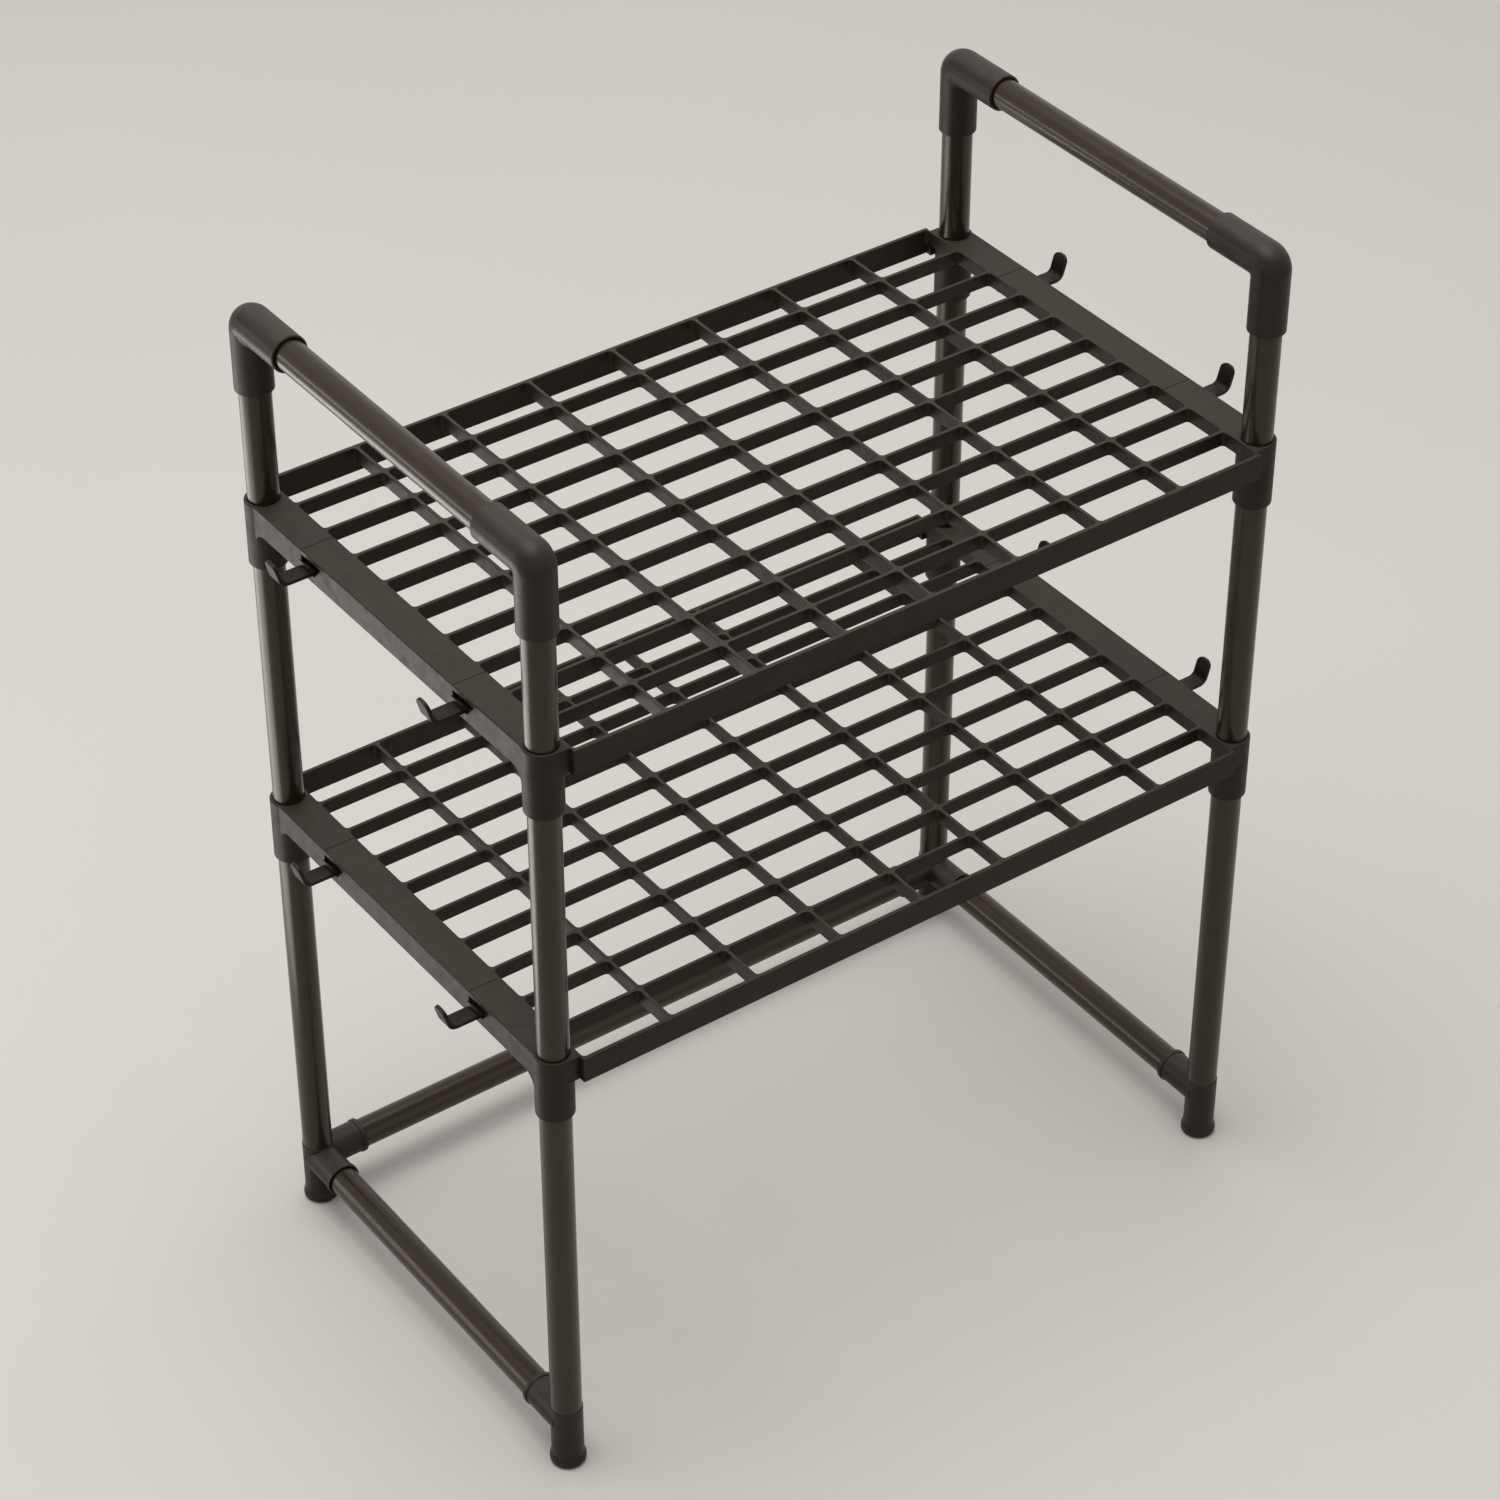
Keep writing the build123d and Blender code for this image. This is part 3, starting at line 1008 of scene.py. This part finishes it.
@dataclass
class HandleElbow(RackPart):
    """The moulded elbow between an upper post and a handle tube."""

    radius: float = 11.6
    wall: float = 2.0
    leg: float = 44.0
    bend: float = 5.0
    end_chamfer: float = 0.6
    crease_round: float = 1.6

    def half_shell(self, name: str) -> Piece:
        """The leg's outer skin, cut square over its outer half and at a mitre over its inner half.

        Args:
            name: the solid's name.

        Returns:
            The skin of the leg that points down.
        """
        clear_selection()
        bpy.ops.mesh.primitive_cylinder_add(
            vertices=ROUND_SIDES, radius=self.radius * MM, depth=(self.leg + self.radius) * MM,
            end_fill_type="NOTHING", location=(0.0, 0.0, (self.radius - self.leg) / 2 * MM),
        )
        piece = named(name)
        fix_in_place(piece)
        with editing(piece):
            slice_through((0.0, 0.0, -self.bend), (0.0, 0.0, 1.0))
            slice_through((0.0, 0.0, 0.0), (0.0, 1.0, 1.0))
            pick_faces(
                piece,
                lambda place, normal: place.z > -self.bend or (place.y > self.bend and place.z > -place.y),
            )
            bpy.ops.mesh.delete(type="FACE")
        return piece

    def moulding(self) -> Piece:
        """A front elbow, with its corner at the origin, one leg down and one to the back.

        Returns:
            The elbow as one solid.
        """
        leg = self.half_shell("elbow")
        arm = self.half_shell("elbow_arm")
        arm.rotation_euler = (math.pi / 2, 0.0, 0.0)
        arm.scale = (1.0, -1.0, 1.0)
        fix_in_place(arm)
        take(leg)
        arm.select_set(True)
        bpy.ops.object.join()
        with editing(leg):
            bpy.ops.mesh.remove_doubles(threshold=MERGE * MM)
            pick_edges(
                leg,
                lambda first, second: abs(first.z + self.bend) < NEAR and abs(second.z + self.bend) < NEAR
                and (first + second).y < 2 * self.bend,
            )
            bpy.ops.mesh.spin(
                steps=QUARTER_STEPS, angle=math.pi / 2, axis=(1.0, 0.0, 0.0),
                center=(0.0, self.bend * MM, -self.bend * MM),
            )
            face_outwards()
            bevel_edges(
                leg,
                lambda first, second: abs(first.y + first.z) < NEAR and abs(second.y + second.z) < NEAR
                and (first + second).y > 2 * self.bend,
                self.crease_round, steps=4,
            )
        apply_modifier(leg, "SOLIDIFY", thickness=self.wall * MM, offset=-1.0)
        with editing(leg):
            end = self.leg - NEAR
            bevel_edges(
                leg,
                lambda first, second: (max(first.z, second.z) < -end or min(first.y, second.y) > end)
                and abs(self.off_axis(first) - self.off_axis(second)) < NEAR,
                self.end_chamfer, steps=1,
            )
        return leg

    def off_axis(self, point: Vector) -> float:
        """How far a point lies from the axis of the leg that it belongs to."""
        return point.xy.length if point.z < -self.radius else point.xz.length

    def build(self) -> None:
        """Makes the four elbows and puts them on their posts."""
        body = self.moulding()
        for corner in Corner:
            node = f"handle_elbow_{corner.label}"
            piece = copy_of(body, f"elbow_{corner.label}")
            if corner.value[1] > 0:
                turn_about_z(piece, 180.0)
            self.to_post(piece, corner, top_of(node) - self.radius)
            hand_in(piece, node, self.wardrobe.joint)
        bpy.data.objects.remove(body)


@dataclass
class FootJoint(RackPart):
    """The moulded foot under each post, with a branch for each crossbar."""

    bar_height: float = 34.5
    radius: float = 10.0
    flare_radius: float = 11.2
    flare_height: float = 4.0
    neck_height: float = 9.0
    neck_steps: int = 5
    edge_round: float = 2.6
    floor: float = 4.0
    shoulder_height: float = 45.6
    shoulder_round: float = 0.3
    spigot_radius: float = 8.6
    spigot_bore: float = 6.6
    spigot_length: float = 22.0
    spigot_chamfer: float = 1.0
    branch_radius: float = 10.6
    branch_reach: float = 31.0
    branch_stop: float = 12.0
    rim_width: float = 3.0
    rim_height: float = 0.7
    # How far the middle of the rim's round lies inside its corner, as a share of the round.
    rim_bow: float = 0.3

    def body(self, name: str) -> Piece:
        """The upright part: flared foot, neck, shoulder and the spigot inside the post.

        Args:
            name: the solid's name.

        Returns:
            The upright part, with its post's axis at the origin.
        """
        edge = quarter_round(self.edge_round, step=15)
        rings = [(self.flare_radius + drop, inset) for inset, drop in edge]
        for step in range(self.neck_steps + 1):
            share = step / self.neck_steps
            ease = (1 - math.cos(math.pi * share)) / 2
            height = self.flare_height + (self.neck_height - self.flare_height) * share
            rings.append((self.flare_radius + (self.radius - self.flare_radius) * ease, height))
        top = self.shoulder_height + self.spigot_length
        rings += [
            (self.radius, self.shoulder_height - self.shoulder_round),
            (self.radius - self.shoulder_round, self.shoulder_height),
            (self.spigot_radius, self.shoulder_height),
            (self.spigot_radius, top - self.spigot_chamfer),
            (self.spigot_radius - self.spigot_chamfer, top),
        ]
        return turned(name, rings)

    def to_back(self, name: str, profile: Profile) -> Piece:
        """Turns a solid that points to the back at the height of the crossbars.

        Args:
            name: the solid's name.
            profile: each ring's radius and distance from the post's axis in millimetres.

        Returns:
            The solid.
        """
        solid = turned(name, profile)
        lay(solid, Lie.ALONG_Y)
        shift(solid, (0.0, 0.0, self.bar_height))
        return solid

    def branch(self) -> Piece:
        """One branch without its socket, with the raised rim at its mouth.

        Returns:
            The branch, pointing to the back.
        """
        soft = self.rim_height / 2
        bow = self.rim_bow * soft
        rim_radius = self.branch_radius + self.rim_height
        rim_start = self.branch_reach - self.rim_width
        return self.to_back(
            "branch",
            [
                (self.branch_radius, 0.0),
                (self.branch_radius, rim_start),
                (rim_radius - soft, rim_start),
                (rim_radius - bow, rim_start + bow),
                (rim_radius, rim_start + soft),
                (rim_radius, self.branch_reach - soft),
                (rim_radius - bow, self.branch_reach - bow),
                (rim_radius - soft, self.branch_reach),
            ],
        )

    def branch_space(self) -> Piece:
        """The space inside a branch: the crossbar's socket and the narrower core behind its stop.

        Returns:
            The space as a solid, pointing to the back.
        """
        wide = self.socket_radius + self.mouth_chamfer
        return self.to_back(
            "branch_space",
            [
                (self.stop_radius, 0.0),
                (self.stop_radius, self.branch_stop),
                (self.socket_radius, self.branch_stop),
                (self.socket_radius, self.branch_reach - self.mouth_chamfer),
                (wide, self.branch_reach),
                (wide, self.branch_reach + self.overcut),
            ],
        )

    def moulding(self, name: str, turns: tuple[float, ...]) -> Piece:
        """One whole foot joint, with the post's axis at the origin.

        Args:
            name: the piece's name.
            turns: the turn of each branch in degrees from pointing to the back.

        Returns:
            The foot joint.
        """
        joint = self.body(name)
        for make, how in ((self.branch, Joining.ADD), (self.branch_space, Joining.CUT)):
            for turn in turns:
                solid = make()
                turn_about_z(solid, turn)
                join_solids(joint, solid, how)
        top = self.shoulder_height + self.spigot_length + self.overcut
        bore = turned("bore", [(self.spigot_bore, self.floor), (self.spigot_bore, top)])
        join_solids(joint, bore, Joining.CUT)
        return joint

    def build(self) -> None:
        """Makes the four foot joints and puts them under their posts."""
        for corner in Corner:
            sign_x, sign_y = corner.value
            # A front foot has one branch, to the back. A back foot has one to the front and one inwards.
            turns = (0.0,) if sign_y < 0 else (180.0, sign_x * 90.0)
            piece = self.moulding(f"foot_{corner.label}", turns)
            self.to_post(piece, corner)
            hand_in(piece, f"foot_joint_{corner.label}", self.wardrobe.joint)


@dataclass
class SideHook(RackPart):
    """The hook that clips into a slot in a shelf's side rim."""

    width: float = 11.0
    thickness: float = 2.5
    below_shelf: float = 8.8
    reach: float = 25.0
    bend_radius: float = 4.0
    bend_steps: int = 12
    lean: float = 16.0
    tip_above_shelf: float = 4.6
    tip_round: float = 4.5
    rib_out: float = 2.6
    rib_thickness: float = 1.0
    rib_height: float = 4.2
    tail_length: float = 12.0
    tail_clearance: float = 0.2
    catch_height: float = 1.5
    slot_clearance: float = 0.2
    edge_round: float = 0.4
    # Edges that turn by more than this many degrees are rounded.
    sharp_angle: float = 50.0

    def moulding(self) -> Piece:
        """A right-hand hook for a shelf whose top is at the height 0, with its middle at Y = 0.

        Returns:
            The hook as one solid.
        """
        top = -self.below_shelf
        middle_bend = self.bend_radius + self.thickness / 2
        turn = math.radians(90.0 - self.lean)
        rise = self.tip_above_shelf - (top - self.thickness / 2) - middle_bend * (1 - math.cos(turn))
        arm = rise / math.sin(turn)
        arm_out = middle_bend * math.sin(turn) + arm * math.cos(turn) + self.thickness / 2 * math.sin(turn)
        bend_x = self.side_edge_x + self.reach - arm_out
        tail_x = self.wall_x - self.tail_length
        catch_x = self.wall_x - self.slot_clearance
        rib_x = self.side_edge_x + self.rib_out
        tail_end = tail_x + self.thickness
        half = self.width / 2
        hook = block("hook", (tail_x, -half, top - self.thickness), (bend_x, half, top))
        # What stands on the hook's stem: which way, between which X, and how tall.
        stands = (
            (1, tail_x, tail_end, self.below_shelf - self.strip_skin - self.tail_clearance),
            (-1, catch_x - self.thickness, catch_x, self.catch_height),
            (1, rib_x - self.rib_thickness, rib_x, self.rib_height),
        )
        with editing(hook):
            for x in (tail_end, catch_x - self.thickness, catch_x, rib_x - self.rib_thickness, rib_x):
                slice_through((x, 0.0, 0.0), (1.0, 0.0, 0.0))
            for sign, start, end, height in stands:
                pick_faces(hook, lambda place, normal: normal.z * sign > FACING and start < place.x < end)
                draw_out(z=sign * height)
            pick_faces(hook, lambda place, normal: normal.x > FACING and place.x > bend_x - NEAR)
            bpy.ops.mesh.spin(
                steps=self.bend_steps, angle=turn, axis=(0.0, 1.0, 0.0),
                center=(bend_x * MM, 0.0, (top + self.bend_radius) * MM),
            )
            draw_out(x=arm * math.cos(turn), z=arm * math.sin(turn))
            face_outwards()
            tip = self.tip_above_shelf - self.thickness
            # Only the tip's own corner edges are about as short as the hook is thick.
            short = 1.2 * self.thickness
            bevel_edges(
                hook,
                lambda first, second: abs(first.y - second.y) < NEAR and abs(abs(first.y) - half) < NEAR
                and min(first.z, second.z) > tip and (first - second).length < short,
                self.tip_round, steps=8,
            )
        apply_modifier(
            hook, "BEVEL", width=self.edge_round * MM, segments=2, limit_method="ANGLE",
            angle_limit=math.radians(self.sharp_angle),
        )
        return hook

    def build(self) -> None:
        """Makes the eight hooks and clips them into both shelves."""
        body = self.moulding()
        for level in ("lower", "upper"):
            top = top_of(f"{level}_shelf")
            for side, turn in (("right", 0.0), ("left", 180.0)):
                for end, sign_y in (("front", -1), ("back", 1)):
                    piece = copy_of(body, f"hook_{level}_{side}_{end}")
                    turn_about_z(piece, turn)
                    shift(piece, (0.0, sign_y * self.hook_y, top))
                    hand_in(piece, f"{level}_hook_{side}_{end}", self.wardrobe.hook)
        bpy.data.objects.remove(body)


@dataclass(frozen=True)
class Lamp:
    """One soft lamp: where it hangs and what it shines at, its size in millimetres and its watts."""

    name: str
    place: Place
    aim: Place
    width: float
    height: float
    power: float

    def hang(self) -> None:
        """Hangs the lamp, out of the camera's sight."""
        clear_selection()
        bpy.ops.object.light_add(type="AREA", location=Vector(self.place) * MM)
        lamp = bpy.context.object
        lamp.name = self.name
        lamp.rotation_euler = (Vector(self.aim) - Vector(self.place)).to_track_quat("-Z", "Y").to_euler()
        lamp.data.shape = "RECTANGLE"
        lamp.data.size = self.width * MM
        lamp.data.size_y = self.height * MM
        lamp.data.energy = self.power
        lamp.visible_camera = False


@dataclass
class Studio:
    """A plain pale floor, soft lamps and the camera."""

    floor_size: float = 14000.0
    floor_colour: str = "#e4e1dc"
    mottle_colour: str = "#e0ddd8"
    mottle_size: float = 400.0
    floor_roughness: float = 0.85
    backdrop_colour: str = "#e9e7e3"
    world_colour: str = "#f2f0ec"
    world_light: float = 0.5
    camera_place: Place = (-1211.2, -1659.4, 1917.6)
    camera_line: Place = (0.46464, 0.64235, -0.60951)
    lens: float = 102.66
    sensor: float = 36.0
    lamps: tuple[Lamp, ...] = (
        Lamp("window_left", (-2350.0, 1750.0, 520.0), (0.0, 0.0, 350.0), 1800.0, 300.0, 8.0),
        Lamp("card_back_left", (-780.0, 620.0, 8.0), (-780.0, 620.0, 1000.0), 640.0, 1000.0, 6.6),
        Lamp("soft_top", (-300.0, 300.0, 3200.0), (0.0, 0.0, 300.0), 2200.0, 2200.0, 54.0),
    )

    def floor(self) -> None:
        """Lays the floor: matt painted board with a faint mottle."""
        clear_selection()
        bpy.ops.mesh.primitive_plane_add(size=self.floor_size * MM, location=(0.0, 0.0, 0.0))
        ground = named("studio_floor")
        paint = bare_material("matt_floor_paint")
        spot = add_node(paint, "TexCoord").outputs["Object"]
        mottle = add_node(
            paint, "TexNoise", {"Vector": spot, "Scale": cells_per_metre(self.mottle_size), "Detail": 3.0},
        ).outputs["Fac"]
        tone = add_node(
            paint, "Mix", {"Factor": mottle, "A": linear(self.floor_colour), "B": linear(self.mottle_colour)},
            data_type="RGBA",
        ).outputs["Result"]
        surface = add_node(
            paint, "BsdfPrincipled", {"Base Color": tone, "Roughness": self.floor_roughness}
        ).outputs["BSDF"]
        add_node(paint, "OutputMaterial", {"Surface": surface})
        ground.data.materials.append(paint)

    def world(self) -> None:
        """Fills the room with even light, and shows a pale backdrop to the camera and in reflections."""
        room = bpy.data.worlds.new("studio_room")
        bpy.context.scene.world = room
        room.use_nodes = True
        room.node_tree.nodes.clear()
        light, backdrop = (
            add_node(room, "Background", {"Color": linear(colour), "Strength": power}).outputs["Background"]
            for colour, power in ((self.world_colour, self.world_light), (self.backdrop_colour, 1.0))
        )
        path = add_node(room, "LightPath").outputs
        seen = path["Is Camera Ray"]
        for ray in ("Is Glossy Ray", "Is Transmission Ray"):
            seen = add_node(room, "Math", {0: seen, 1: path[ray]}, operation="MAXIMUM").outputs[0]
        shown = add_node(room, "MixShader", {0: seen, 1: light, 2: backdrop}).outputs["Shader"]
        add_node(room, "OutputWorld", {"Surface": shown})

    def camera(self) -> None:
        """Sets up the camera where the photograph was taken from."""
        clear_selection()
        bpy.ops.object.camera_add(location=Vector(self.camera_place) * MM)
        camera = bpy.context.object
        camera.name = "photo_camera"
        camera.rotation_euler = Vector(self.camera_line).to_track_quat("-Z", "Y").to_euler()
        camera.data.lens = self.lens
        camera.data.sensor_width = self.sensor
        bpy.context.scene.camera = camera

    def build(self) -> None:
        """Sets up the whole studio."""
        bpy.context.scene.view_settings.view_transform = "Standard"
        self.floor()
        self.world()
        self.camera()
        for lamp in self.lamps:
            lamp.hang()


def main() -> None:
    """Builds the rack piece by piece, and the studio round it."""
    logging.basicConfig(level=logging.INFO, format="%(message)s")
    wardrobe = Wardrobe.make()
    Studio().build()
    for part in (SteelTube, HandleElbow, FootJoint, SideHook, LatticeShelf):
        part(wardrobe).build()


if __name__ == "__main__":
    main()
